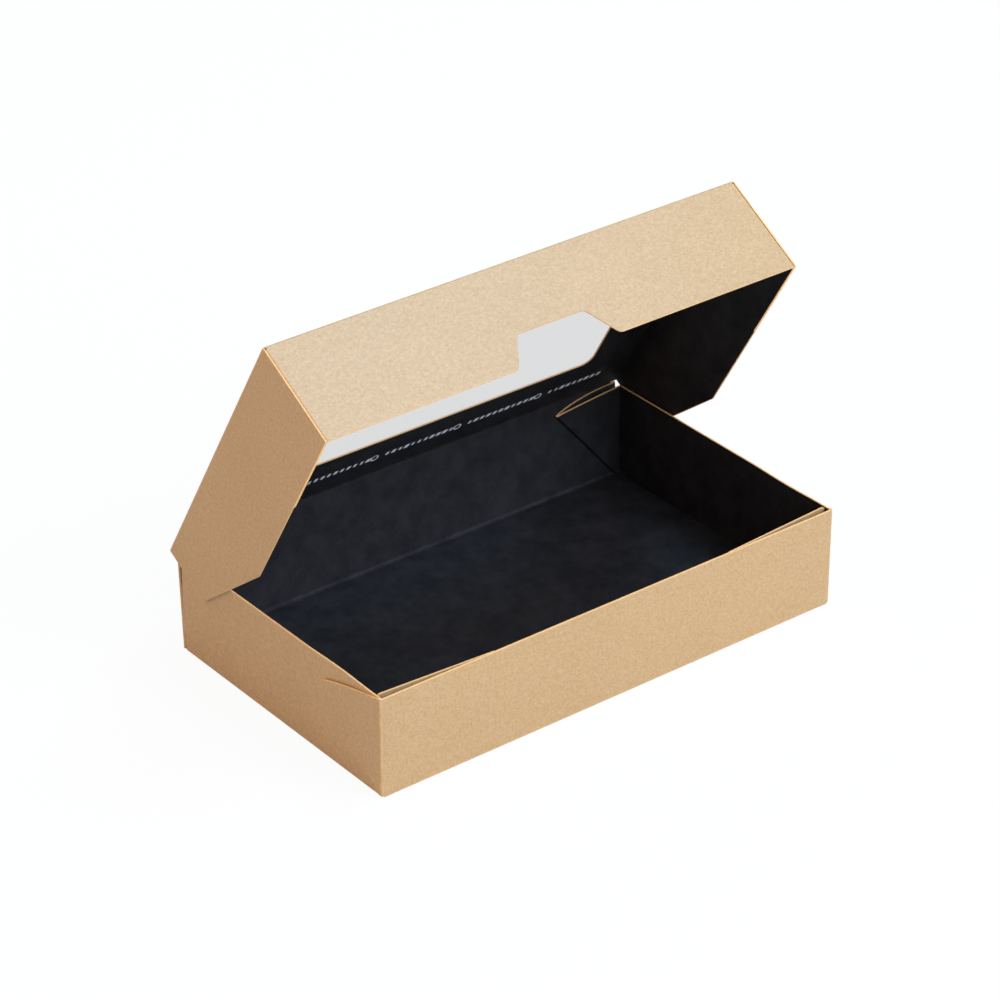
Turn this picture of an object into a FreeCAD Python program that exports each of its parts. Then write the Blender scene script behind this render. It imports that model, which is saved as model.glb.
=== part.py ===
import FreeCAD, Part
import math
import os

os.makedirs("parts", exist_ok=True)
V = FreeCAD.Vector

# Takeaway carton: a folded board tray and a hinged folded lid with a film window.
# Millimetres, +Z up, +Y to the hinge. It is drawn from the front left bottom
# corner and moved at the end, so that the origin is the middle of the tray's
# underside, which is the plane z = 0.

# Board and film
BOARD = 0.5
FILM = 0.1

# Tray
WIDTH = 230.0
DEPTH = 135.0
HEIGHT = 45.2
REAR_LEAN = 4.9          # how far the back wall's top stands behind its foot

# Web folded up in each rear corner, against the back wall
WEB_REACH = 33.0         # from the side wall to the web's tip
WEB_TIP_Z = 40.0
WEB_BITE = 0.2           # how deep the two web layers share the diagonal fold

# Front corners: outer ear on the side wall, inner ear behind the front wall
EAR_REACH = 36.0
EAR_TIP_Z = 35.8
INNER_EAR_SETBACK = 3.2  # its crease on the side wall, behind the front face
INNER_EAR_REACH = 54.0
INNER_EAR_FOOT = 42.0
INNER_EAR_TOP_DROP = 0.9
INNER_EAR_ROUND = 2.0    # its free top corner beside the side wall
GLUE_BITE = 0.1          # overlap that joins a glued flap to its wall

# Lid
OPEN_ANGLE = 59.7        # as photographed, from closed
LID_DEPTH = 140.8
LID_WALL = 45.8
LID_REAR_WALL = 26.8     # height of the lid's side walls at the hinge
LID_KINK = 47.1          # where the chamfered rear end meets the full height
LID_TAB = 44.7           # glue tabs behind the lid's side walls
LID_TAB_TOP_GAP = 1.0    # between a tab and the top panel
HINGE_GAP = 0.15         # crease left open between the panel and the hinge line

# Clearances of the closed lid on the tray
SIDE_CLEAR = 0.25
TOP_CLEAR = 0.2

# Window, its film and the thumb notch
WINDOW_SIDE = 25.0
WINDOW_REAR = 26.5
WINDOW_FRONT = 25.0
WINDOW_ROUND = 5.0
FILM_SIDE = 11.0
FILM_REAR = 15.0
FILM_FRONT = 12.5
NOTCH_EDGE_WIDTH = 50.0
NOTCH_TOP_WIDTH = 33.0
NOTCH_DEEP = 14.4
NOTCH_ROUND = 3.0

# Tied sizes
SIDE_OUT = BOARD                     # side walls lie inside the outer ears
SIDE_IN = SIDE_OUT + BOARD
REAR_Y = DEPTH + REAR_LEAN           # back wall's top and the lid's rear end
TOP_Z = HEIGHT + TOP_CLEAR + BOARD   # upper face of the closed lid
HINGE_Y = REAR_Y - BOARD / 2         # the crease turns in the board's middle
HINGE_Z = TOP_Z - BOARD / 2
LID_FRONT_Y = REAR_Y - LID_DEPTH
LID_EDGE_Z = TOP_Z - LID_WALL
LID_SIDE = SIDE_CLEAR + 2 * BOARD    # lid's outer face outside the tray's


def plate(points, thick):
    """A flat piece of board: outline points and the vector of its thickness."""
    wire = Part.makePolygon(points + [points[0]])
    return Part.Face(wire).extrude(thick)


def mirrored(shape):
    """The same piece at the other end of the box."""
    return shape.mirror(V(WIDTH / 2, 0, 0), V(1, 0, 0))


def rear_y(z, inward):
    """The leaning back wall's plane, a distance inward of its outer face."""
    return DEPTH - inward + REAR_LEAN * z / HEIGHT


def rounded(shape, edges_at, radius):
    """Round the edges whose middles lie on the given points."""
    chosen = []
    for edge in shape.Edges:
        middle = edge.valueAt((edge.FirstParameter + edge.LastParameter) / 2)
        if any((middle - point).Length < 0.05 for point in edges_at):
            chosen.append(edge)
    return shape.makeFillet(radius, chosen)


def rear_wall():
    foot = DEPTH - BOARD
    outline = [
        V(SIDE_OUT, foot, 0),
        V(SIDE_OUT, DEPTH, 0),
        V(SIDE_OUT, DEPTH + REAR_LEAN, HEIGHT),
        V(SIDE_OUT, foot + REAR_LEAN, HEIGHT),
    ]
    return plate(outline, V(WIDTH - 2 * SIDE_OUT, 0, 0))


def rear_web():
    """Two triangles of one web, meeting in the diagonal fold, open at the top."""
    rear_of_back_layer = BOARD
    front_of_back_layer = 2 * BOARD
    tip_x = SIDE_IN + WEB_REACH
    back_layer = plate(
        [
            V(SIDE_OUT, rear_y(0, rear_of_back_layer), 0),
            V(SIDE_OUT, rear_y(HEIGHT, rear_of_back_layer), HEIGHT),
            V(tip_x, rear_y(WEB_TIP_Z, rear_of_back_layer), WEB_TIP_Z),
        ],
        V(0, -BOARD, 0),
    )
    crease_y = rear_y(0, front_of_back_layer - WEB_BITE)
    front_layer = plate(
        [
            V(SIDE_OUT, crease_y, 0),
            V(SIDE_OUT, crease_y, HEIGHT),
            V(tip_x, rear_y(WEB_TIP_Z, front_of_back_layer - WEB_BITE), WEB_TIP_Z),
        ],
        V(0, -BOARD, 0),
    )
    return back_layer.fuse(front_layer)


def side_wall():
    """Left wall, from the front wall to the rear web's crease."""
    rear_end = rear_y(0, 2 * BOARD - WEB_BITE)
    return Part.makeBox(BOARD, rear_end, HEIGHT, V(SIDE_OUT, 0, 0))


def outer_ear():
    """The front wall's ear, turned round the corner and glued on the side wall."""
    outline = [
        V(0, 0, 0),
        V(0, EAR_REACH, EAR_TIP_Z),
        V(0, 0, HEIGHT),
    ]
    return plate(outline, V(BOARD, 0, 0))


def inner_ear():
    """The side wall's ear, turned in behind the front wall and glued to it."""
    slope = (BOARD - GLUE_BITE - INNER_EAR_SETBACK) / INNER_EAR_REACH

    def spot(reach, z):
        return V(SIDE_OUT + reach, INNER_EAR_SETBACK + slope * reach, z)

    shoulder = HEIGHT - BOARD - INNER_EAR_ROUND
    outline = [
        spot(0, 0),
        spot(0, shoulder),
        spot(BOARD, shoulder),
        spot(BOARD + INNER_EAR_ROUND, HEIGHT - BOARD),
        spot(INNER_EAR_REACH, HEIGHT - INNER_EAR_TOP_DROP),
        spot(INNER_EAR_FOOT, 0),
    ]
    return plate(outline, V(0, BOARD, 0))


def make_tray():
    floor = Part.makeBox(WIDTH - 2 * SIDE_OUT, DEPTH, BOARD, V(SIDE_OUT, 0, 0))
    front = Part.makeBox(WIDTH, BOARD, HEIGHT)
    corner = side_wall().fuse([outer_ear(), inner_ear(), rear_web()])
    tray = floor.fuse([front, rear_wall(), corner, mirrored(corner)])
    return tray.removeSplitter()


def lid_panel():
    """Top panel with its window, in the closed place."""
    width = WIDTH + 2 * LID_SIDE
    panel = Part.makeBox(
        width, HINGE_Y - HINGE_GAP - LID_FRONT_Y, BOARD,
        V(-LID_SIDE, LID_FRONT_Y, TOP_Z - BOARD),
    )
    low_y = LID_FRONT_Y + WINDOW_FRONT
    high_y = REAR_Y - WINDOW_REAR
    opening = Part.makeBox(
        WIDTH - 2 * WINDOW_SIDE, high_y - low_y, 3 * BOARD,
        V(WINDOW_SIDE, low_y, TOP_Z - 2 * BOARD),
    )
    middle_z = TOP_Z - BOARD / 2
    corners = [
        V(x, y, middle_z)
        for x in (WINDOW_SIDE, WIDTH - WINDOW_SIDE)
        for y in (low_y, high_y)
    ]
    return panel.cut(rounded(opening, corners, WINDOW_ROUND))


def lid_side():
    """Left side wall: low at the hinge, chamfered, then full height."""
    outline = [
        V(-LID_SIDE, REAR_Y, TOP_Z),
        V(-LID_SIDE, REAR_Y, TOP_Z - LID_REAR_WALL),
        V(-LID_SIDE, REAR_Y - LID_KINK, LID_EDGE_Z),
        V(-LID_SIDE, LID_FRONT_Y, LID_EDGE_Z),
        V(-LID_SIDE, LID_FRONT_Y, TOP_Z),
    ]
    return plate(outline, V(BOARD, 0, 0))


def lid_tab():
    """Glue tab of the lid's front wall, turned in behind the side wall."""
    return Part.makeBox(
        BOARD, LID_TAB, LID_WALL - LID_TAB_TOP_GAP,
        V(BOARD - LID_SIDE, LID_FRONT_Y, LID_EDGE_Z),
    )


def lid_front():
    """Front wall with the thumb notch in the middle of its free edge."""
    width = WIDTH + 2 * (LID_SIDE - BOARD)
    start = V(BOARD - LID_SIDE, LID_FRONT_Y, LID_EDGE_Z)
    wall = Part.makeBox(width, BOARD, LID_WALL, start)
    middle = WIDTH / 2
    half_edge = NOTCH_EDGE_WIDTH / 2
    half_top = NOTCH_TOP_WIDTH / 2
    notch = plate(
        [
            V(middle - half_edge, LID_FRONT_Y, LID_EDGE_Z),
            V(middle - half_top, LID_FRONT_Y, LID_EDGE_Z + NOTCH_DEEP),
            V(middle + half_top, LID_FRONT_Y, LID_EDGE_Z + NOTCH_DEEP),
            V(middle + half_edge, LID_FRONT_Y, LID_EDGE_Z),
        ],
        V(0, BOARD, 0),
    )
    middle_y = LID_FRONT_Y + BOARD / 2
    wall = wall.cut(notch)
    corners = [
        V(middle + side * half, middle_y, LID_EDGE_Z + rise)
        for side in (-1, 1)
        for half, rise in ((half_edge, 0), (half_top, NOTCH_DEEP))
    ]
    return rounded(wall, corners, NOTCH_ROUND)


def opened(shape):
    """Swing a piece of the closed lid up to the photographed angle."""
    shape.rotate(V(0, HINGE_Y, HINGE_Z), V(1, 0, 0), -OPEN_ANGLE)
    return shape


def make_lid():
    end = lid_side().fuse(lid_tab())
    lid = lid_panel().fuse([lid_front(), end, mirrored(end)])
    return opened(lid.removeSplitter())


def make_film():
    """Clear sheet glued under the top panel, wider than the window."""
    film = Part.makeBox(
        WIDTH - 2 * FILM_SIDE, LID_DEPTH - FILM_FRONT - FILM_REAR, FILM,
        V(FILM_SIDE, LID_FRONT_Y + FILM_FRONT, TOP_Z - BOARD - FILM),
    )
    return opened(film)


pieces = {
    "tray": make_tray(),
    "lid": make_lid(),
    "window_film": make_film(),
}
for name, shape in pieces.items():
    shape.translate(V(-WIDTH / 2, -DEPTH / 2, 0))
    solids = shape.Solids
    box = shape.BoundBox
    print(name, "solids", len(solids), "valid", shape.isValid(), "volume", round(shape.Volume, 1))
    print("   x", round(box.XMin, 2), round(box.XMax, 2), "y", round(box.YMin, 2), round(box.YMax, 2),
          "z", round(box.ZMin, 2), round(box.ZMax, 2))
    solids[0].exportStep("parts/" + name + ".step")
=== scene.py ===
import math
import bmesh
import bpy
from mathutils import Matrix, Vector


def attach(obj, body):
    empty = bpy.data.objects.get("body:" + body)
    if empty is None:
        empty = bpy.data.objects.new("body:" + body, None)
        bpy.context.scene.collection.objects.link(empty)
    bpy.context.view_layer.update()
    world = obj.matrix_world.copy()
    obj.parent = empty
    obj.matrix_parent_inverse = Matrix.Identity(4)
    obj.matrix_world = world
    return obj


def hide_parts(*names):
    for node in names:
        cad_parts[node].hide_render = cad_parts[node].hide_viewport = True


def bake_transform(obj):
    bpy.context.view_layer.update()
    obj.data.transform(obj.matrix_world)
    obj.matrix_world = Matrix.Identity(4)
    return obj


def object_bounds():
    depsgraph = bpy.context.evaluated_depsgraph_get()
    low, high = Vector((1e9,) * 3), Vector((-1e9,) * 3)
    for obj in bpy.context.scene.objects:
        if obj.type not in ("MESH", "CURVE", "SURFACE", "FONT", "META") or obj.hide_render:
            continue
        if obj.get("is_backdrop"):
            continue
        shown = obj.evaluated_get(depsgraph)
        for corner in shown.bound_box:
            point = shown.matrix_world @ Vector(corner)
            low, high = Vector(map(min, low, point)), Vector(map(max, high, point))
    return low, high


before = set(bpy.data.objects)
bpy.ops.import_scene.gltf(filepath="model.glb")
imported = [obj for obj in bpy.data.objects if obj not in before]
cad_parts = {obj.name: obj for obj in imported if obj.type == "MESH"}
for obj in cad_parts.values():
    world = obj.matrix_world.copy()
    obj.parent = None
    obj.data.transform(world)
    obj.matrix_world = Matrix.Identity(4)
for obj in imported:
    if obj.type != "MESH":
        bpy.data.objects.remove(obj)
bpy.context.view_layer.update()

# Tray
# Folded from one blank of solid paperboard, brown kraft outside and black ink inside.
# Each rear corner is a web folded flat against the back wall. In front, the front
# wall's ears are glued round the outside and the side walls' ears are tucked in.

MM = 0.001
BOARD = 0.6


def noise(nodes, links, coords, scale, detail, rough=0.6, stretch=None, turn=(0, 0, 0)):
    """Noise on object coordinates, with its cells stretched for fibres."""
    source = coords.outputs["Object"]
    if stretch:
        mapping = nodes.new("ShaderNodeMapping")
        mapping.inputs["Scale"].default_value = stretch
        mapping.inputs["Rotation"].default_value = turn
        links.new(source, mapping.inputs["Vector"])
        source = mapping.outputs["Vector"]
    tex = nodes.new("ShaderNodeTexNoise")
    tex.inputs["Scale"].default_value = scale
    tex.inputs["Detail"].default_value = detail
    tex.inputs["Roughness"].default_value = rough
    links.new(source, tex.inputs["Vector"])
    return tex.outputs["Fac"]


def ramp(nodes, links, fac, stops):
    """Colour ramp with the given (position, colour) stops."""
    node = nodes.new("ShaderNodeValToRGB")
    node.color_ramp.elements[0].position = stops[0][0]
    node.color_ramp.elements[0].color = stops[0][1]
    node.color_ramp.elements[1].position = stops[-1][0]
    node.color_ramp.elements[1].color = stops[-1][1]
    for place, colour in stops[1:-1]:
        node.color_ramp.elements.new(place).color = colour
    links.new(fac, node.inputs["Fac"])
    return node.outputs["Color"]


def mix(nodes, links, kind, fac, a, b):
    """Mix two colours; the factor is a number or a socket."""
    node = nodes.new("ShaderNodeMix")
    node.data_type = "RGBA"
    node.blend_type = kind
    if isinstance(fac, float):
        node.inputs[0].default_value = fac
    else:
        links.new(fac, node.inputs[0])
    for socket, value in ((node.inputs[6], a), (node.inputs[7], b)):
        if isinstance(value, tuple):
            socket.default_value = value
        else:
            links.new(value, socket)
    return node.outputs[2]


def finish_with(nodes, links, shader, colour, height, bump, distance):
    """Join colour and bump to the surface shader."""
    links.new(colour, shader.inputs["Base Color"])
    node = nodes.new("ShaderNodeBump")
    node.inputs["Strength"].default_value = bump
    node.inputs["Distance"].default_value = distance
    links.new(height, node.inputs["Height"])
    links.new(node.outputs["Normal"], shader.inputs["Normal"])


def blank_material(name, roughness):
    """A new material of that roughness, its node tree and its object coordinates."""
    material = bpy.data.materials.new(name)
    material.use_nodes = True
    nodes, links = material.node_tree.nodes, material.node_tree.links
    shader = nodes["Principled BSDF"]
    shader.inputs["Roughness"].default_value = roughness
    return material, nodes, links, shader, nodes.new("ShaderNodeTexCoord")


def lifted(lift, red, green, blue):
    """A colour made paler by the given factor."""
    return (red * lift, green * lift, blue * lift, 1)


def clouded(nodes, links, coords, base, scale, detail, shade):
    """Darken the base colour in soft patches of the given shade."""
    patches = noise(nodes, links, coords, scale, detail)
    tone = ramp(nodes, links, patches, ((0.35, shade), (0.65, (1.0, 1.0, 1.0, 1))))
    return mix(nodes, links, "MULTIPLY", 1.0, base, tone)


def strewn(nodes, links, base, spots, first, last, strength, colour):
    """Lay a colour over the base where the spots' noise is high."""
    mask = ramp(nodes, links, spots, ((first, (0, 0, 0, 1)), (last, (strength, strength, strength, 1))))
    return mix(nodes, links, "MIX", mask, base, colour)


DARK_FIBRE = (0.450, 0.245, 0.095, 1)
PALE_FIBRE = (0.760, 0.560, 0.370, 1)
DARK_FLECK = (0.400, 0.190, 0.065, 1)

# stretch, turn, strength and colour of each kind of fibre
FIBRES = (
    ((1.0, 1.0, 0.25), (0.5, 0.6, 0.2), 0.36, DARK_FIBRE),
    ((0.25, 1.0, 1.0), (0.2, 0.5, 0.6), 0.36, DARK_FIBRE),
    ((0.22, 1.0, 1.0), (-0.4, -0.3, 0.4), 0.20, PALE_FIBRE),
    ((1.0, 0.22, 1.0), (0.6, 0.3, -0.3), 0.20, PALE_FIBRE),
)
TOOTH = 0.0002


def make_kraft(name, lift):
    """Brown kraft face: mottled grain, dark and pale fibres, a few flecks, a slight sheen.

    lift makes the whole face paler; along folds this paints a highlight on the crease.
    """
    material, nodes, links, shader, coords = blank_material(name, 0.36)
    shader.inputs["Specular IOR Level"].default_value = 0.38
    grain = noise(nodes, links, coords, 860, 5, 0.75)
    base = ramp(nodes, links, grain, (
        (0.34, lifted(lift, 0.522, 0.306, 0.132)),
        (0.50, lifted(lift, 0.594, 0.364, 0.170)),
        (0.66, lifted(lift, 0.660, 0.428, 0.220)),
    ))
    base = clouded(nodes, links, coords, base, 420, 3, (0.965, 0.95, 0.925, 1))
    base = clouded(nodes, links, coords, base, 18, 2, (0.97, 0.965, 0.96, 1))
    for stretch, turn, strength, colour in FIBRES:
        fibre = noise(nodes, links, coords, 1700, 1, 0.5, stretch, turn)
        base = strewn(nodes, links, base, fibre, 0.58, 0.76, strength, colour)
    fleck = noise(nodes, links, coords, 430, 1)
    base = strewn(nodes, links, base, fleck, 0.70, 0.77, 0.35, DARK_FLECK)
    finish_with(nodes, links, shader, base, grain, 0.08, TOOTH)
    return material


def make_ink(name, lift):
    """Black printed face: dull ink on board, a little cloudy; lift makes it paler, which paints a
    highlight along the bottom's creases.
    """
    material, nodes, links, shader, coords = blank_material(name, 0.60)
    shader.inputs["Specular IOR Level"].default_value = 0.30
    cloud = noise(nodes, links, coords, 110, 8, 0.72)
    base = ramp(nodes, links, cloud, (
        (0.38, lifted(lift, 0.0120, 0.0110, 0.0128)),
        (0.62, lifted(lift, 0.0250, 0.0225, 0.0243)),
    ))
    grain = noise(nodes, links, coords, 1400, 3)
    finish_with(nodes, links, shader, base, grain, 0.05, TOOTH)
    return material


def make_edge():
    """Cut edge of the board: paler and more orange than its face, a little uneven."""
    material, nodes, links, shader, coords = blank_material("cut_edge", 0.60)
    cloud = noise(nodes, links, coords, 900, 3)
    base = ramp(nodes, links, cloud, ((0.3, (0.90, 0.47, 0.17, 1)), (0.7, (1.0, 0.61, 0.28, 1))))
    finish_with(nodes, links, shader, base, cloud, 0.2, TOOTH)
    return material


# finish of each face while a piece is made, and what it would be if it weren't cut
KRAFT, INK, EDGE, KRAFT_LIP, INK_LIP, EDGE_LIP, PAINTED_CREASE_LIGHT = range(7)
UNCUT = {EDGE: KRAFT, KRAFT_LIP: KRAFT, INK_LIP: INK, EDGE_LIP: KRAFT}
LIP = 0.3

# material slots of a finished piece, of which the first three are finishes too
# the last two slots paint highlights: paler kraft along folds, paler ink along the bottom's creases
FOLD_HIGHLIGHT_KRAFT, INK_CREASE_HIGHLIGHT = 3, 4
board_materials = [
    make_kraft("kraft_face", 1.0),
    make_ink("black_ink", 1.0),
    make_edge(),
    make_kraft("kraft_fold_highlight", 1.16),
    make_ink("ink_crease_highlight", 1.9),
]
WELD = 2e-6
FOLD_WIDTH = 0.8
GENTLE_BEND = math.radians(8)
SHARP_CORNER = math.radians(35)
STEEP_BEND = math.radians(60)
CORNER_STEPS = 4


def spread(first, last, count):
    """Even steps from first to last, both included."""
    return [first + (last - first) * i / count for i in range(count + 1)]


def arc_angles(first, last, steps=CORNER_STEPS):
    """Even angles from first to last, given in degrees."""
    return [math.radians(angle) for angle in spread(first, last, steps)]


def rounded_path(points, radius, steps=CORNER_STEPS):
    """A flat line of points with each corner turned on a small arc."""
    out = [Vector(points[0])]
    for a, b, c in zip(points, points[1:], points[2:]):
        a, b, c = Vector(a), Vector(b), Vector(c)
        before, after = (b - a).normalized(), (c - b).normalized()
        turn = before.angle(after)
        start = b - before * radius * math.tan(turn / 2)
        side = Vector((-before.y, before.x))
        if side.dot(after) < 0:
            side = -side
        for i in range(steps + 1):
            angle = turn * i / steps
            out.append(start + side * radius * (1 - math.cos(angle)) + before * radius * math.sin(angle))
    out.append(Vector(points[-1]))
    return out


def loft(bm, rows):
    """Faces between rows of points that have the same length, in millimetres."""
    grid = [[bm.verts.new(Vector(p) * MM) for p in row] for row in rows]
    for low, high in zip(grid, grid[1:]):
        for i in range(len(low) - 1):
            bm.faces.new((low[i], low[i + 1], high[i + 1], high[i]))


def turn_kraft_out(bm, point, direction):
    """Turn the sheet's faces so that the one at the point looks that way."""
    bmesh.ops.recalc_face_normals(bm, faces=bm.faces)
    middle = Vector(point) * MM
    nearest = min(bm.faces, key=lambda f: (f.calc_center_median() - middle).length)
    if nearest.normal.dot(Vector(direction)) < 0:
        bmesh.ops.reverse_faces(bm, faces=bm.faces)


def mark_lip(bm):
    """Set off a narrow lip beside each cut in the cut edge's colour: bared board on the ink side, a
    painted highlight on the kraft side.
    """
    lip = bmesh.ops.inset_region(
        bm, faces=bm.faces[:], thickness=LIP * MM, use_boundary=True, use_even_offset=True)
    for face in lip["faces"]:
        # on the kraft face this pale lip paints a highlight along the cut
        face.material_index = KRAFT_LIP


def thicken(piece, board):
    """Give the sheet its thickness, with kraft out, ink in and cut edges at the rim."""
    for finish in range(PAINTED_CREASE_LIGHT):
        piece.data.materials.append(board_materials[min(finish, EDGE)])
    wall = piece.modifiers.new("board", "SOLIDIFY")
    wall.thickness = board * MM
    wall.offset = 0
    wall.use_even_offset = False
    wall.use_quality_normals = True
    wall.material_offset = INK
    wall.material_offset_rim = EDGE
    graph = bpy.context.evaluated_depsgraph_get()
    solid = bpy.data.meshes.new_from_object(piece.evaluated_get(graph))
    piece.modifiers.clear()
    piece.data = solid


def slot_of(face, finish_of, bends):
    """The slot for a face: its finish, or a paler slot that paints a highlight: kraft along a fold, ink
    along the bottom's creases.
    """
    finish = face.material_index
    if finish_of:
        finish = finish_of(face.calc_center_median() / MM, finish)
    if finish == PAINTED_CREASE_LIGHT:
        return INK_CREASE_HIGHLIGHT
    finish = min(finish, EDGE)
    longest = max(edge.calc_length() for edge in face.edges)
    narrow = face.calc_area() < FOLD_WIDTH * MM * longest
    # painted highlight: narrow kraft faces along a fold get the paler kraft
    if finish == KRAFT and narrow and any(edge in bends for edge in face.edges):
        return FOLD_HIGHLIGHT_KRAFT
    return finish


def board_piece(name, bm, outward, finish_of=None, board=BOARD):
    """Make a folded sheet of board from its middle surface.

    outward is a (point, direction) pair that says which way the kraft side looks.
    finish_of gets a face's middle and finish, and may give it another finish.
    """
    bmesh.ops.remove_doubles(bm, verts=bm.verts, dist=WELD)
    turn_kraft_out(bm, *outward)
    mark_lip(bm)
    mesh = bpy.data.meshes.new(name)
    bm.to_mesh(mesh)
    bm.free()
    piece = bpy.data.objects.new(name, mesh)
    bpy.context.scene.collection.objects.link(piece)
    thicken(piece, board)
    bm = bmesh.new()
    bm.from_mesh(piece.data)
    piece.data.materials.clear()
    for material in board_materials:
        piece.data.materials.append(material)
    bends = {edge for edge in bm.edges if GENTLE_BEND < edge.calc_face_angle(0) < STEEP_BEND}
    for face in bm.faces:
        face.smooth = len(face.verts) == 4
        face.material_index = slot_of(face, finish_of, bends)
    for edge in bm.edges:
        edge.smooth = edge.is_manifold and edge.calc_face_angle(0) < SHARP_CORNER
    bm.to_mesh(piece.data)
    bm.free()
    return piece


WIDTH = 230.0
DEPTH = 135.0
HEIGHT = 45.2
REAR_OVERHANG = 4.9
FRONT_X = WIDTH / 2 - BOARD / 2
SIDE_X = FRONT_X - BOARD
FRONT_Y = -DEPTH / 2 + BOARD / 2
REAR_FOOT_Y = DEPTH / 2 - BOARD / 2
REAR_LEAN = REAR_OVERHANG / HEIGHT
FOLD = 0.5
ROWS = 16
COLUMNS = 24

# the walls' feet stand in a bead, inside which the bottom is raised and crowned
BEAD = 0.75
BEAD_ROUND = 0.33
BEAD_LAND = 0.6
FOOT_Z = BOARD / 2 + 0.06
WALL_FOOT = 1.0
FLOOR_Z = 2.4
FLOOR_CROWN = 1.6
FLOOR_HALF_X = SIDE_X - BEAD - BEAD_LAND
FLOOR_HALF_Y = REAR_FOOT_Y - BEAD - BEAD_LAND

# webs, with what each draws off the back wall's end, and outer ears
REAR_TAPER = {-1: 1.9, 1: 0.5}
WEB_REACH = 32.5
WEB_TIP_Z = 40.0
WEB_FOLD = 0.36
WEB_CREASE_Y = 67.6
WEB_CREASE_LEAN = 0.2 / HEIGHT
WEB_CREASE_CLEAR = 0.9
EAR_REACH = 36.0
EAR_TIP_Z = 35.8
EAR_SPRING = 0.03
DRAWN_IN = 0.5
DRAWN_FROM_Y = -62
DRAWN_LENGTH = 44


def wall_heights(top=HEIGHT):
    """Heights of the rows of a wall, from its foot to its top."""
    return [WALL_FOOT + (top - WALL_FOOT) * j / ROWS for j in range(ROWS + 1)]


def rear_y(z):
    """The leaning back wall's place at a height."""
    return REAR_FOOT_Y + REAR_LEAN * z


def rear_x(z, end):
    """Where the back wall's flat part ends: the web pulls its top inwards."""
    return FRONT_X - WEB_FOLD - REAR_TAPER[end] * z / HEIGHT


def crease_y(z):
    """The side wall's rear crease, which the web draws forwards at the top."""
    return min(WEB_CREASE_Y - WEB_CREASE_LEAN * z, rear_y(z) - WEB_CREASE_CLEAR)


def foot_path(face, top_y):
    """Section of a wall's foot: down, round the crease bead and onto the bottom."""
    step = 1 if face < 0 else -1
    return rounded_path([
        (top_y, WALL_FOOT),
        (face, FOOT_Z),
        (face + step * BEAD, FOOT_Z),
        (face + step * BEAD, FLOOR_Z),
        (face + step * (BEAD + BEAD_LAND), FLOOR_Z),
    ], BEAD_ROUND)


def foot_share(i, foot):
    """How far a row of the foot has come towards the bottom's corners."""
    return min(1.0, i / (len(foot) - CORNER_STEPS - 2))


def drawn_in(y, z):
    """How far the side wall's top stands in from the outer ear, between its ends."""
    along = (y - DRAWN_FROM_Y) / DRAWN_LENGTH
    if not 0 < along < 1:
        return 0
    return DRAWN_IN * math.sin(math.pi * along) ** 2 * (z / HEIGHT) ** 2


def web_column(end, share, bow, where):
    """One line of a web from its foot to its top edge, which may bow up.

    where gives its place in x and y from the height, the back wall's end in x and y
    at that height, and how far the line has come towards the web's tip.
    """
    column = []
    for z in wall_heights(HEIGHT - (HEIGHT - WEB_TIP_Z) * share ** bow):
        x, y = where(z, rear_x(z, end), rear_y(z), share * WEB_REACH * z / WEB_TIP_Z)
        column.append((end * x, y, z))
    return column


tray_sheet = bmesh.new()

# front and back walls with the bottom between them
for face, end_x, top_y in (
    (FRONT_Y, lambda z, end: FRONT_X - FOLD, lambda z: FRONT_Y),
    (REAR_FOOT_Y, rear_x, rear_y),
):
    rows = []
    for z in reversed(wall_heights()):
        rows.append([(x, top_y(z), z) for x in spread(-end_x(z, -1), end_x(z, 1), COLUMNS)])
    foot = foot_path(face, top_y(WALL_FOOT))
    ends = [-end_x(WALL_FOOT, -1), end_x(WALL_FOOT, 1)]
    for i, (y, z) in enumerate(foot[1:], 1):
        share = foot_share(i, foot)
        first, last = (x + (math.copysign(FLOOR_HALF_X, x) - x) * share for x in ends)
        rows.append([(x, y, z) for x in spread(first, last, COLUMNS)])
    loft(tray_sheet, rows)

bottom = []
for y in spread(-FLOOR_HALF_Y, FLOOR_HALF_Y, ROWS):
    row = []
    for x in spread(-FLOOR_HALF_X, FLOOR_HALF_X, COLUMNS):
        lift = (1 - (x / FLOOR_HALF_X) ** 2) * (1 - (y / FLOOR_HALF_Y) ** 2)
        row.append((x, y, FLOOR_Z + FLOOR_CROWN * lift))
    bottom.append(row)
loft(tray_sheet, bottom)

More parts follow.
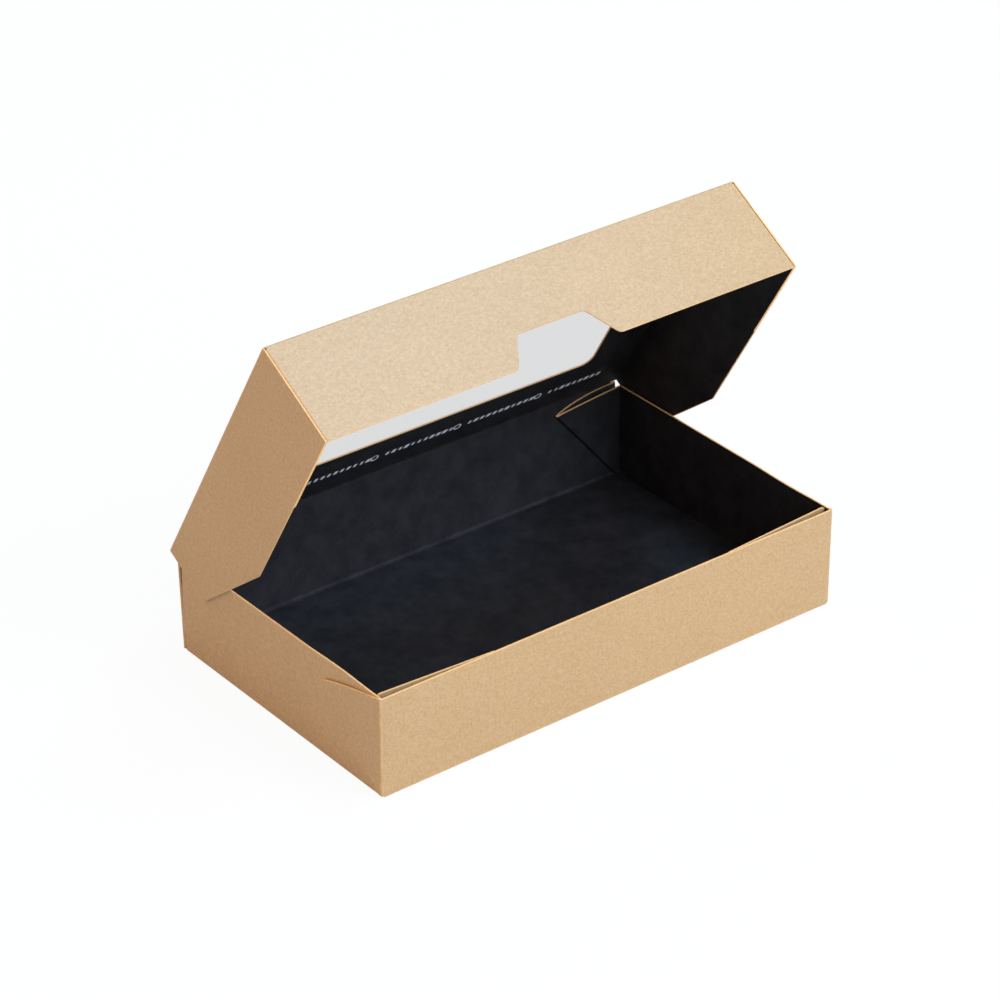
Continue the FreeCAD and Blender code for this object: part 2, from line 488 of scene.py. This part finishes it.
# side walls, webs and outer ears, the same at both ends
for end in (-1, 1):
    side_front = FRONT_Y + BOARD / 2
    side_rear = crease_y(WALL_FOOT) - FOLD
    rows = []
    for z in reversed(wall_heights()):
        lengthwise = spread(side_front, crease_y(z) - FOLD, 2 * ROWS)
        rows.append([(end * (SIDE_X - drawn_in(y, z)), y, z) for y in lengthwise])
    foot = foot_path(-SIDE_X, -SIDE_X)
    for i, (x, z) in enumerate(foot[1:], 1):
        share = foot_share(i, foot)
        low = side_front + (-FLOOR_HALF_Y - side_front) * share
        high = side_rear + (FLOOR_HALF_Y - side_rear) * share
        rows.append([(-end * x, y, z) for y in spread(low, high, 2 * ROWS)])
    loft(tray_sheet, rows)

    # the web: round the back wall's end, in, round its tip, out and into the side wall
    crease_x = SIDE_X - FOLD
    columns = []
    for angle in arc_angles(90, -90, 6):
        columns.append(web_column(end, 0, 1, lambda z, x, y, reach: (
            x + WEB_FOLD * math.cos(angle),
            y - WEB_FOLD + WEB_FOLD * math.sin(angle))))
    for i in range(1, 11):
        columns.append(web_column(end, i / 10, 2, lambda z, x, y, reach: (
            x - reach,
            y - 2 * WEB_FOLD)))
    for angle in arc_angles(90, 270, 6)[1:]:
        columns.append(web_column(end, 1, 1, lambda z, x, y, reach: (
            x - reach + WEB_FOLD * math.cos(angle),
            y - 3 * WEB_FOLD + WEB_FOLD * math.sin(angle))))
    for i in range(9, -1, -1):
        share = i / 10
        columns.append(web_column(end, share, 1, lambda z, x, y, reach: (
            crease_x + share * (x - crease_x) - reach,
            crease_y(z) + share * (y - 4 * WEB_FOLD - crease_y(z)))))
    for angle in arc_angles(90, 0)[1:]:
        columns.append(web_column(end, 0, 1, lambda z, x, y, reach: (
            crease_x + FOLD * math.cos(angle),
            crease_y(z) - FOLD + FOLD * math.sin(angle))))
    loft(tray_sheet, columns)

    # the outer ear, from the front wall's end to its slanted tip
    columns = []
    for angle in arc_angles(0, 90):
        x = end * (FRONT_X - FOLD + FOLD * math.sin(angle))
        y = FRONT_Y + FOLD - FOLD * math.cos(angle)
        columns.append([(x, y, z) for z in wall_heights()])
    for i in range(1, 9):
        share = i / 8
        column = []
        for z in wall_heights(HEIGHT - (HEIGHT - EAR_TIP_Z) * share):
            x = end * (FRONT_X + EAR_SPRING * share * z / EAR_TIP_Z)
            column.append((x, FRONT_Y + FOLD + share * EAR_REACH * z / EAR_TIP_Z, z))
        columns.append(column)
    loft(tray_sheet, columns)

FOOT_TOP = FLOOR_Z + 1.0
BOTTOM_BAND = 0.3
EAR_INNER_X = SIDE_X + 0.26
FOLD_BAND = 1.2
EAR_FOLD_FROM = 1.0
POCKET_AHEAD = 0.1


def tray_finish(p, finish):
    """Folds at the blank's outline are no cuts, and the kraft in the webs' pockets is painted black as
    their shade.

    The ink along the bottom's four creases is made pale: a painted highlight.
    """
    along_bottom = abs(p.z - FLOOR_Z - BOARD / 2) < BOTTOM_BAND
    # painted highlight: the ink along the bottom's creases gets the paler ink
    if finish == INK and along_bottom and (abs(p.y) > FLOOR_HALF_Y or abs(p.x) > FLOOR_HALF_X):
        return PAINTED_CREASE_LIGHT
    from_corner = p.y - FRONT_Y
    on_diagonal = abs(from_corner - FOLD - p.z) < FOLD_BAND and from_corner > EAR_FOLD_FROM
    if p.z < FOOT_TOP or (abs(p.x) > EAR_INNER_X and on_diagonal):
        return UNCUT.get(finish, finish)
    end = 1 if p.x > 0 else -1
    in_web = abs(p.x) < rear_x(p.z, end) - BOARD / 2 and p.y > crease_y(p.z) - POCKET_AHEAD
    # painted shade: the kraft inside each web's pocket is given the black ink
    if finish == KRAFT and in_web and p.y < rear_y(p.z) - FOLD_BAND * WEB_FOLD:
        return INK
    return finish


tray_shell = board_piece("tray_shell", tray_sheet, ((0, 0, FLOOR_Z), (0, 0, -1)), tray_finish)
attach(tray_shell, "tray")
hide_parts("tray")

# Inner ears
# The side walls' ears, creased inwards behind the front wall and glued to it
# further along, so that a narrow gap stays open beside the corner.

INNER_EAR_X = SIDE_X - 0.35
INNER_EAR_Y = -63.6
INNER_EAR_REACH = 54.0
INNER_EAR_FOOT = 42.0
INNER_EAR_LIFT = 0.4
INNER_EAR_RISE = 0.05
INNER_EAR_DROP = 0.3
INNER_EAR_ROUND = 1.6
INNER_EAR_SLANT = 0.96
INNER_EAR_CUT = 2.5
GLUED_Y = FRONT_Y + BOARD + 0.02
ears_sheet = bmesh.new()
for end in (-1, 1):
    columns = []
    for angle in arc_angles(0, 90):
        x = INNER_EAR_X - FOLD + FOLD * math.cos(angle)
        columns.append((x, INNER_EAR_Y + FOLD - FOLD * math.sin(angle)))
    for share in [0.003, 0.007, 0.012, 0.02] + spread(0, 1, 16)[1:]:
        reach = FOLD + share * (INNER_EAR_REACH - FOLD)
        columns.append((INNER_EAR_X - reach, INNER_EAR_Y + share * (GLUED_Y - INNER_EAR_Y)))
    rows = []
    for x, y in columns:
        reach = INNER_EAR_X - x
        top = HEIGHT + INNER_EAR_RISE - INNER_EAR_DROP * reach / INNER_EAR_REACH
        if reach < INNER_EAR_ROUND:
            top -= INNER_EAR_ROUND - math.sqrt(INNER_EAR_ROUND ** 2 - (INNER_EAR_ROUND - reach) ** 2)
        low = FLOOR_Z + INNER_EAR_LIFT
        if reach > INNER_EAR_FOOT:
            past_foot = (reach - INNER_EAR_FOOT) / (INNER_EAR_REACH - INNER_EAR_FOOT)
            low += past_foot * (top - low) * INNER_EAR_SLANT
        rows.append([(end * x, y, z) for z in spread(low, top, 10)])
    loft(ears_sheet, rows)


def ear_finish(p, finish):
    """The ear's near end is a crease at the side wall, so only its top is cut."""
    if abs(p.x) > INNER_EAR_X - FOLD and p.z < HEIGHT - INNER_EAR_CUT:
        return UNCUT.get(finish, finish)
    return finish


inner_ears = board_piece("tray_inner_ears", ears_sheet, ((-90, -66, 20), (0, -1, 0)), ear_finish)
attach(inner_ears, "tray")

# Lid
# The blank's other half, folded the same way: a top panel with the window cut
# out, a front wall with a thumb notch, and side walls glued over its tabs.

OPEN_ANGLE = math.radians(59.7)
LID_WIDTH = 232.5
LID_DEPTH = 140.8
LID_WALL = 45.8
LID_REAR_WALL = 26.8
LID_KINK = 47.1
LID_REAR_Y = DEPTH / 2 + REAR_OVERHANG
LID_TOP_Z = HEIGHT + 0.7
HINGE_Y = LID_REAR_Y - 0.25
HINGE_Z = LID_TOP_Z - 0.25
LID_HALF_X = LID_WIDTH / 2 - BOARD / 2
FRONT_U = LID_DEPTH - BOARD / 2
CREASE = 0.6
TAB_X = LID_HALF_X - BOARD
TAB_REAR = LID_DEPTH - 44.7
TAB_TOP = 1.5
PANEL_V = BOARD / 2
PANEL_REAR = 0.4
PANEL_X = LID_HALF_X - CREASE
PANEL_FRONT = FRONT_U - CREASE
WINDOW_X, WINDOW_REAR, WINDOW_FRONT, WINDOW_ROUND = 90.0, 26.5, 115.8, 5.0
NOTCH_EDGE, NOTCH_TOP, NOTCH_DEEP, NOTCH_ROUND = 25.0, 16.5, 14.4, 3.0
ROUND_STEPS = 6


def in_lid(x, u, v):
    """Lid sizes (across, from the rear, down from the top) to the scene's."""
    y = LID_REAR_Y - u - HINGE_Y
    z = LID_TOP_Z - v - HINGE_Z
    turned_y = y * math.cos(OPEN_ANGLE) + z * math.sin(OPEN_ANGLE)
    turned_z = z * math.cos(OPEN_ANGLE) - y * math.sin(OPEN_ANGLE)
    return (x, HINGE_Y + turned_y, HINGE_Z + turned_z)


def corner_arc(x, u, start):
    """Quarter circle of (x, u) points round a window corner's centre."""
    angles = [start + i * math.pi / 2 / ROUND_STEPS for i in range(ROUND_STEPS + 1)]
    return [(x + WINDOW_ROUND * math.cos(a), u + WINDOW_ROUND * math.sin(a)) for a in angles]


lid_sheet = bmesh.new()


def lid_loop(points):
    """Vertices of the lid's sheet at points given in lid sizes."""
    return [lid_sheet.verts.new(Vector(in_lid(*p)) * MM) for p in points]


def lid_strip(rows):
    """Faces of the lid's sheet between rows given in lid sizes."""
    loft(lid_sheet, [[in_lid(*p) for p in row] for row in rows])


# top panel, with the window's rounded opening
outline = lid_loop([
    (-PANEL_X, PANEL_REAR, PANEL_V), (PANEL_X, PANEL_REAR, PANEL_V),
    (PANEL_X, PANEL_FRONT, PANEL_V), (-PANEL_X, PANEL_FRONT, PANEL_V),
])
hole = []
for x, u, start in (
    (WINDOW_X - WINDOW_ROUND, WINDOW_FRONT - WINDOW_ROUND, 0),
    (-WINDOW_X + WINDOW_ROUND, WINDOW_FRONT - WINDOW_ROUND, math.pi / 2),
    (-WINDOW_X + WINDOW_ROUND, WINDOW_REAR + WINDOW_ROUND, math.pi),
    (WINDOW_X - WINDOW_ROUND, WINDOW_REAR + WINDOW_ROUND, 3 * math.pi / 2),
):
    hole += [(*point, PANEL_V) for point in corner_arc(x, u, start)]
hole = lid_loop(hole)
edges = []
for loop in (outline, hole):
    edges += [lid_sheet.edges.new((a, b)) for a, b in zip(loop, loop[1:] + loop[:1])]
bmesh.ops.triangle_fill(lid_sheet, edges=edges, use_beauty=True)

# front wall: crease, wall with the thumb notch, tabs
WALL_X = TAB_X - FOLD
rows = []
for i, angle in enumerate(arc_angles(0, 90)):
    reach = PANEL_X + (WALL_X - PANEL_X) * i / CORNER_STEPS
    u = PANEL_FRONT + CREASE * math.sin(angle)
    v = PANEL_V + CREASE * (1 - math.cos(angle))
    rows.append([(-reach, u, v), (reach, u, v)])
lid_strip(rows)
notch = rounded_path([
    (-WALL_X, LID_WALL), (-NOTCH_EDGE, LID_WALL), (-NOTCH_TOP, LID_WALL - NOTCH_DEEP),
    (NOTCH_TOP, LID_WALL - NOTCH_DEEP), (NOTCH_EDGE, LID_WALL), (WALL_X, LID_WALL),
], NOTCH_ROUND, ROUND_STEPS)
front = [(p.x, FRONT_U, p.y) for p in notch]
front += [(WALL_X, FRONT_U, TAB_TOP), (WALL_X, FRONT_U, PANEL_V + CREASE)]
front += [(-WALL_X, FRONT_U, PANEL_V + CREASE), (-WALL_X, FRONT_U, TAB_TOP)]
lid_sheet.faces.new(lid_loop(front))
for end in (-1, 1):
    rows = []
    for angle in arc_angles(0, 90):
        x = end * (WALL_X + FOLD * math.sin(angle))
        u = FRONT_U - FOLD * (1 - math.cos(angle))
        rows.append([(x, u, TAB_TOP), (x, u, LID_WALL)])
    rows.append([(end * TAB_X, TAB_REAR, TAB_TOP), (end * TAB_X, TAB_REAR, LID_WALL)])
    lid_strip(rows)

# side walls, low and chamfered at the hinge
for end in (-1, 1):
    rows = []
    for i, angle in enumerate(arc_angles(0, 90)):
        x = end * (PANEL_X + CREASE * math.sin(angle))
        v = PANEL_V + CREASE * (1 - math.cos(angle))
        rear = PANEL_REAR * (1 - i / CORNER_STEPS)
        ahead = PANEL_FRONT + (LID_DEPTH - PANEL_FRONT) * i / CORNER_STEPS
        rows.append([(x, rear, v), (x, ahead, v)])
    lid_strip(rows)
    x = end * LID_HALF_X
    lid_sheet.faces.new(lid_loop([
        (x, 0, PANEL_V + CREASE), (x, 0, LID_REAR_WALL), (x, LID_KINK, LID_WALL),
        (x, LID_DEPTH, LID_WALL), (x, LID_DEPTH, PANEL_V + CREASE),
    ]))

lid_corner = Vector(in_lid(0, 0, 0))
lid_ahead = Vector(in_lid(0, 1, 0)) - lid_corner
panel_up = Vector(in_lid(0, 0, -1)) - lid_corner
HAIR = 0.05


def lid_finish(p, finish):
    """The rear ends run on into the crease, the tabs' ends are inked, and no lip shows outside."""
    ahead = (p - lid_corner).dot(lid_ahead)
    if ahead < PANEL_REAR + LIP + HAIR or finish == KRAFT_LIP:
        return UNCUT.get(finish, finish)
    in_tab = abs(p.x) > TAB_X - FOLD
    if abs(ahead - TAB_REAR) < LIP + HAIR and in_tab and finish != KRAFT:
        return INK
    return finish


lid_shell = board_piece("lid_shell", lid_sheet, (in_lid(100, 60, 0), panel_up), lid_finish)
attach(lid_shell, "lid")
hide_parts("lid")

# Crease between tray and lid
# The same board carried on from the back wall into the lid's top panel. It is
# scored across its whole width and bends as the lid opens.

CREASE_HALF_X = rear_x(HEIGHT, -1) - 0.1
CREASE_BOARD = BOARD + 0.04
CREASE_LAP = 0.8
CREASE_BULGE = 0.10
wall_top = Vector((0, rear_y(HEIGHT), HEIGHT))
wall_way = Vector((0, -REAR_LEAN, -1)).normalized()
lid_rear = Vector(in_lid(0, PANEL_REAR, PANEL_V))
lid_way = lid_ahead.normalized()
line = [wall_top + wall_way * CREASE_LAP, wall_top]
for t in spread(0, 1, 5)[1:-1]:
    bend = wall_top.lerp(lid_rear, t)
    bend.y += CREASE_BULGE * math.sin(math.pi * t)
    line.append(bend)
line += [lid_rear, lid_rear + lid_way * CREASE_LAP]
crease_sheet = bmesh.new()
across = spread(-CREASE_HALF_X, CREASE_HALF_X, 20)
loft(crease_sheet, [[(x, p.y, p.z) for x in across] for p in line])


def crease_finish(p, finish):
    """Only the crease's two ends are cut."""
    if abs(p.x) > CREASE_HALF_X - LIP - HAIR:
        return finish
    return UNCUT.get(finish, finish)


crease_back = (tuple(wall_top), (0, 1, 0))
lid_crease = board_piece("lid_crease", crease_sheet, crease_back, crease_finish, CREASE_BOARD)
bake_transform(lid_crease)

# Band marks
# A row of small pale marks printed on the black band between crease and window:
# rings, with short slanted bars of uneven length between them. Thin ink on board.

MARK_U = 13.4
MARK_SIZES = (
    ("Half Width", "NodeSocketFloat", 105.0 * MM),
    ("Pitch", "NodeSocketFloat", 3.3 * MM),
    ("Height", "NodeSocketFloat", 4.0 * MM),
    ("Ink", "NodeSocketFloat", 0.02 * MM),
    ("Ring Every", "NodeSocketInt", 13),
    ("Seed", "NodeSocketInt", 5),
)

marks_tree = bpy.data.node_groups.new("band_marks", "GeometryNodeTree")
for label, kind, default in MARK_SIZES:
    marks_tree.interface.new_socket(label, in_out="INPUT", socket_type=kind)
marks_tree.interface.new_socket("Geometry", in_out="OUTPUT", socket_type="NodeSocketGeometry")


def add(kind, feeds=None, **settings):
    """Add a node to the marks' tree; a feed is a socket, some sockets or a value."""
    node = marks_tree.nodes.new(kind)
    for key, value in settings.items():
        setattr(node, key, value)
    for key, value in (feeds or {}).items():
        if isinstance(value, (list, bpy.types.NodeSocket)):
            for source in value if isinstance(value, list) else [value]:
                marks_tree.links.new(source, node.inputs[key])
        else:
            node.inputs[key].default_value = value
    return next(output for output in node.outputs if output.enabled)


def sums(operation, a, b):
    """Reckon with two values or sockets."""
    return add("ShaderNodeMath", {0: a, 1: b}, operation=operation)


def compare(a, operation, b):
    """True where the comparison holds."""
    return add("FunctionNodeCompare", {0: a, 1: b}, operation=operation)


def printed(outline, ink):
    """A flat closed outline filled and given the thickness of the print."""
    face = add("GeometryNodeFillCurve", {"Curve": outline}, mode="NGONS")
    top = add("GeometryNodeExtrudeMesh", {"Mesh": face, "Offset Scale": ink, "Individual": False})
    foot = add("GeometryNodeFlipFaces", {"Mesh": face})
    whole = add("GeometryNodeJoinGeometry", {0: [foot, top]})
    return add("GeometryNodeMergeByDistance", {"Geometry": whole, "Distance": WELD})


sizes = marks_tree.nodes.new("NodeGroupInput").outputs
half, pitch, height, ink = (sizes[label] for label in ("Half Width", "Pitch", "Height", "Ink"))
places = add("GeometryNodeMeshLine", {
    "Count": sums("FLOOR", sums("DIVIDE", sums("MULTIPLY", half, 2.0), pitch), 0.0),
    "Start Location": add("ShaderNodeCombineXYZ", {"X": sums("MULTIPLY", half, -1.0)}),
    "Offset": add("ShaderNodeCombineXYZ", {"X": pitch}),
})
turn = sums("MODULO", add("GeometryNodeInputIndex"), sizes["Ring Every"])

length = sums("MULTIPLY", pitch, 0.72)
bar = add("GeometryNodeCurvePrimitiveQuadrilateral", {
    "Width": length, "Height": sums("MULTIPLY", height, 0.6),
    "Offset": sums("MULTIPLY", length, 0.3)}, mode="PARALLELOGRAM")
bar = add("GeometryNodeFilletCurve", {
    "Curve": bar, "Radius": sums("MULTIPLY", height, 0.05), "Count": 2}, mode="POLY")
rings = [add("GeometryNodeCurvePrimitiveCircle", {
    "Resolution": 28, "Radius": sums("MULTIPLY", height, share)}) for share in (0.5, 0.32)]
ring = add("GeometryNodeJoinGeometry", {0: rings})

uneven = add("ShaderNodeCombineXYZ", {
    "X": add("FunctionNodeRandomValue", {2: 0.45, 3: 1.0, "Seed": sizes["Seed"]}, data_type="FLOAT"),
    "Y": add("FunctionNodeRandomValue", {2: 0.8, 3: 1.0, "Seed": sizes["Seed"]}, data_type="FLOAT"),
    "Z": 1.0})
bars = add("GeometryNodeInstanceOnPoints", {
    "Points": places, "Selection": compare(turn, "GREATER_THAN", 1.5), "Instance": printed(bar, ink),
    "Scale": uneven})
rings = add("GeometryNodeInstanceOnPoints", {
    "Points": places, "Selection": compare(turn, "LESS_THAN", 0.5), "Instance": printed(ring, ink)})

pale_ink, nodes, links, shader, coords = blank_material("pale_print", 0.55)
mottle = noise(nodes, links, coords, 1500, 3)
tone = ramp(nodes, links, mottle, ((0.35, (0.78, 0.78, 0.80, 1)), (0.62, (0.92, 0.92, 0.94, 1))))
finish_with(nodes, links, shader, tone, mottle, 0.1, 0.0001)

real = add("GeometryNodeRealizeInstances", {0: add("GeometryNodeJoinGeometry", {0: [bars, rings]})})
done = add("GeometryNodeSetMaterial", {"Geometry": real, "Material": pale_ink})
marks_tree.links.new(done, marks_tree.nodes.new("NodeGroupOutput").inputs[0])

marks = bpy.data.objects.new("band_marks", bpy.data.meshes.new("band_marks"))
bpy.context.scene.collection.objects.link(marks)
maker = marks.modifiers.new("marks", "NODES")
maker.node_group = marks_tree
inputs = [item for item in marks_tree.interface.items_tree if item.in_out == "INPUT"]
for (label, kind, default), item in zip(MARK_SIZES, inputs):
    maker[item.identifier] = default
graph = bpy.context.evaluated_depsgraph_get()
mesh = bpy.data.meshes.new_from_object(marks.evaluated_get(graph))
marks.modifiers.clear()
marks.data = mesh
mesh.materials.clear()
mesh.materials.append(pale_ink)
for face in mesh.polygons:
    face.material_index = 0
for vertex in mesh.vertices:
    x, y, z = vertex.co / MM
    vertex.co = Vector(in_lid(x, MARK_U + y, BOARD + z)) * MM
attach(marks, "lid")

# Window film
# A sheet of clear film glued under the top panel, a little wider than the
# window, drawn almost flat with a faint ripple.

FILM = 0.1
FILM_X, FILM_REAR, FILM_FRONT = 104.0, 15.0, 128.3
FILM_GAP = 0.03
FILM_SAG = 0.25
WINDOW_MIDDLE = (WINDOW_REAR + WINDOW_FRONT) / 2
SAG_HALF_U = 44.6

# height of each ripple, and how far across and along it runs for one radian
RIPPLES = ((0.18, 19, 31), (0.12, 47, -13))


def film_depth(x, u):
    """How far down the film's middle lies: glued at the rim, rippled in the window."""
    across = max(0.0, 1 - (abs(x) / WINDOW_X) ** 4)
    along = max(0.0, 1 - (abs(u - WINDOW_MIDDLE) / SAG_HALF_U) ** 4)
    ripple = sum(rise * math.sin(x / run_x + u / run_u) for rise, run_x, run_u in RIPPLES)
    return BOARD + FILM / 2 + FILM_GAP + across * along * (FILM_SAG + ripple)


film_sheet = bmesh.new()
rows = []
for u in spread(FILM_REAR, FILM_FRONT, 28):
    rows.append([in_lid(x, u, film_depth(x, u)) for x in spread(-FILM_X, FILM_X, 52)])
loft(film_sheet, rows)
bmesh.ops.recalc_face_normals(film_sheet, faces=film_sheet.faces)
mesh = bpy.data.meshes.new("window_film_sheet")
film_sheet.to_mesh(mesh)
film_sheet.free()
film = bpy.data.objects.new("window_film_sheet", mesh)
bpy.context.scene.collection.objects.link(film)
for polygon in mesh.polygons:
    polygon.use_smooth = True
thick = film.modifiers.new("film", "SOLIDIFY")
thick.thickness = FILM * MM
thick.offset = 0
clear, nodes, links, shader, coords = blank_material("clear_film", 0.08)
shader.inputs["Alpha"].default_value = 0.15
shader.inputs["IOR"].default_value = 1.45
grey = noise(nodes, links, coords, 9, 2)
tint = ramp(nodes, links, grey, ((0.3, (0.04, 0.04, 0.04, 1)), (0.7, (0.07, 0.07, 0.07, 1))))
finish_with(nodes, links, shader, tint, grey, 0.05, 0.002)
mesh.materials.append(clear)
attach(film, "lid")
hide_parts("window_film")

# Studio
# A pale floor that runs out to white, a cool lamp high on the right that glances
# off the lid's front, a large one in front, a weak warm one from the left, and the
# camera where the photograph was taken.

FLOOR = 6
FLOOR_WHITE = 0.94
floor_mesh = bpy.data.meshes.new("floor")
floor_corners = [(-FLOOR, -FLOOR, 0), (FLOOR, -FLOOR, 0), (FLOOR, FLOOR, 0), (-FLOOR, FLOOR, 0)]
floor_mesh.from_pydata(floor_corners, [], [(0, 1, 2, 3)])
floor = bpy.data.objects.new("floor", floor_mesh)
bpy.context.scene.collection.objects.link(floor)
pale = bpy.data.materials.new("pale_floor")
pale.use_nodes = True
nodes, links = pale.node_tree.nodes, pale.node_tree.links
shader = nodes["Principled BSDF"]
shader.inputs["Base Color"].default_value = (0.90, 0.90, 0.90, 1)
shader.inputs["Roughness"].default_value = 0.9
shader.inputs["Specular IOR Level"].default_value = 0.1

# the backdrop's strength for reflected rays, as the room round it is dimmer
REFLECTED = 0.30


def calculate(nodes, links, operation, a, b, c=0.0):
    """A maths node on values or sockets."""
    node = nodes.new("ShaderNodeMath")
    node.operation = operation
    for socket, value in zip(node.inputs, (a, b, c)):
        if isinstance(value, (int, float)):
            socket.default_value = value
        else:
            links.new(value, socket)
    return node.outputs[0]


def seen_white(nodes, links, share, light):
    """That share for the rays that see, reflect or pass through to the backdrop.

    light is the strength of the backdrop, which is dimmed for reflected rays.
    """
    path = nodes.new("ShaderNodeLightPath")
    glossy = path.outputs["Is Glossy Ray"]
    direct = calculate(nodes, links, "MAXIMUM", path.outputs["Is Camera Ray"], glossy)
    every = calculate(nodes, links, "MAXIMUM", direct, path.outputs["Is Transmission Ray"])
    links.new(calculate(nodes, links, "MULTIPLY_ADD", glossy, REFLECTED - 1, 1.0), light)
    return calculate(nodes, links, "MULTIPLY", every, share)


glow = nodes.new("ShaderNodeEmission")
blend = nodes.new("ShaderNodeMixShader")
links.new(seen_white(nodes, links, FLOOR_WHITE, glow.inputs["Strength"]), blend.inputs[0])
links.new(shader.outputs[0], blend.inputs[1])
links.new(glow.outputs[0], blend.inputs[2])
links.new(blend.outputs[0], nodes["Material Output"].inputs["Surface"])
floor_mesh.materials.append(pale)
floor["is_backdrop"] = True

world = bpy.data.worlds.new("studio")
bpy.context.scene.world = world
world.use_nodes = True
nodes, links = world.node_tree.nodes, world.node_tree.links
room = nodes["Background"]
room.inputs["Color"].default_value = (1, 1, 1, 1)
room.inputs["Strength"].default_value = 0.56
backdrop = nodes.new("ShaderNodeBackground")
backdrop.inputs["Color"].default_value = (1, 1, 1, 1)
pick = nodes.new("ShaderNodeMixShader")
links.new(seen_white(nodes, links, 1.0, backdrop.inputs["Strength"]), pick.inputs[0])
links.new(room.outputs[0], pick.inputs[1])
links.new(backdrop.outputs[0], pick.inputs[2])
links.new(pick.outputs[0], nodes["World Output"].inputs["Surface"])

AIM = Vector((0, 0, 0.06))


def soft_lamp(name, place, size, power, colour):
    """A rectangular lamp turned to the object's middle."""
    light = bpy.data.lights.new(name, "AREA")
    light.color = colour
    light.shape = "RECTANGLE"
    light.size, light.size_y = size
    light.energy = power
    lamp = bpy.data.objects.new(name, light)
    bpy.context.scene.collection.objects.link(lamp)
    turn = (AIM - Vector(place)).to_track_quat("-Z", "Y")
    lamp.matrix_world = Matrix.Translation(place) @ turn.to_matrix().to_4x4()


soft_lamp("top_lamp", (0.78, -0.16, 1.65), (0.55, 0.55), 11.5, (0.38, 0.72, 1.0))
soft_lamp("front_lamp", (0.60, -1.70, 1.35), (1.5, 1.0), 42.0, (0.70, 0.82, 1.0))
soft_lamp("left_lamp", (-1.8, 0.2, 0.9), (1.0, 1.0), 5.0, (1.0, 0.45, 0.15))

camera_data = bpy.data.cameras.new("camera")
camera_data.lens = 139.3
camera_data.sensor_width = 36.0
camera = bpy.data.objects.new("camera", camera_data)
bpy.context.scene.collection.objects.link(camera)
camera.location = (-0.8316, -1.0549, 0.8449)
camera.rotation_euler = (math.radians(59.70), 0, math.radians(-38.09))
bpy.context.scene.camera = camera
bpy.context.scene.view_settings.view_transform = "Standard"

low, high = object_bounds()
